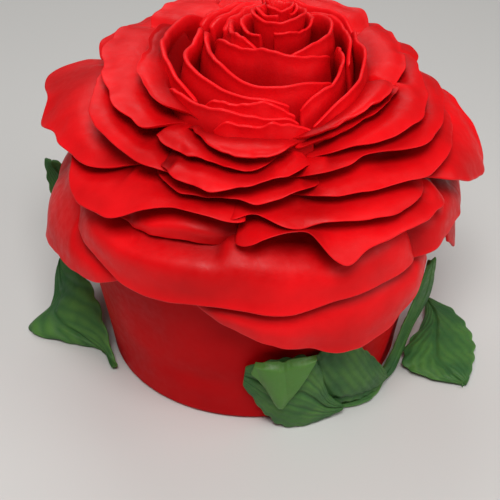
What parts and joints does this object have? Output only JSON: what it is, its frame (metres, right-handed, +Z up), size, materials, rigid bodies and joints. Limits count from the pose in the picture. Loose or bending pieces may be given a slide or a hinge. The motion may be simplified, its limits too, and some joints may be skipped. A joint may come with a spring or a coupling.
{
  "type": "rose-shaped fondant cake",
  "caption": "Round tapered cake covered in red fondant and shaped as an open rose, with overlapping petals round an upright bud and green leaves at its foot.",
  "frame": {"origin": "middle of the cake's flat foot, on the surface it stands on", "axes": "+Z up; -Y towards the front, where two leaves lie against the foot; +X to the front's right"},
  "size_m": [0.2376, 0.2104, 0.1848],
  "materials": {
    "red_covering": "satin red fondant, darker than the petals",
    "red_petal": "satin bright red fondant",
    "green_leaf": "dull mid-green fondant with pressed veins"
  },
  "bodies": {
    "root": {"cake_body": "red_covering", "bud": "red_petal", "petal_cup_inner_left": "red_petal", "petal_cup_inner_right": "red_petal", "petal_cup_inner_front": "red_petal", "petal_cup_rear": "red_petal", "petal_cup_wide_front": "red_petal", "petal_cup_back": "red_petal", "petal_cup_right": "red_petal", "petal_cup_left": "red_petal", "petal_cup_back_right": "red_petal", "petal_cup_right_low": "red_petal", "petal_cup_back_left": "red_petal", "petal_cup_left_low": "red_petal", "petal_cup_back_outer": "red_petal", "petal_cup_front": "red_petal", "petal_cup_front_mid": "red_petal", "petal_cup_front_low": "red_petal", "petal_top_left": "red_petal", "petal_top_back": "red_petal", "petal_top_back_left": "red_petal", "petal_top_right": "red_petal", "petal_top_right_rear": "red_petal", "petal_high_left": "red_petal", "petal_high_right": "red_petal", "petal_high_front": "red_petal", "petal_high_back": "red_petal", "petal_mid_right": "red_petal", "petal_mid_front": "red_petal", "petal_mid_left": "red_petal", "petal_mid_back_left": "red_petal", "petal_mid_front_left": "red_petal", "petal_mid_back_right": "red_petal", "petal_mid_right_low": "red_petal", "petal_mid_back": "red_petal", "petal_low_front": "red_petal", "petal_ear_left": "red_petal", "petal_shoulder_right": "red_petal", "petal_low_back_right": "red_petal", "petal_ear_right": "red_petal", "petal_low_left": "red_petal", "petal_low_front_right": "red_petal", "petal_low_back_left": "red_petal", "petal_low_mid_left": "red_petal", "petal_low_right": "red_petal", "petal_band_back": "red_petal", "petal_band_right": "red_petal", "petal_band_back_left": "red_petal", "petal_band_front": "red_petal", "petal_band_right_rear": "red_petal", "petal_band_left": "red_petal", "petal_band_low_front": "red_petal", "leaf_front_left": "green_leaf", "leaf_front_right": "green_leaf", "leaf_right_upright": "green_leaf", "leaf_right_flat": "green_leaf", "leaf_left": "green_leaf", "leaf_back_left": "green_leaf", "leaf_back": "green_leaf"}
  },
  "joints": []
}
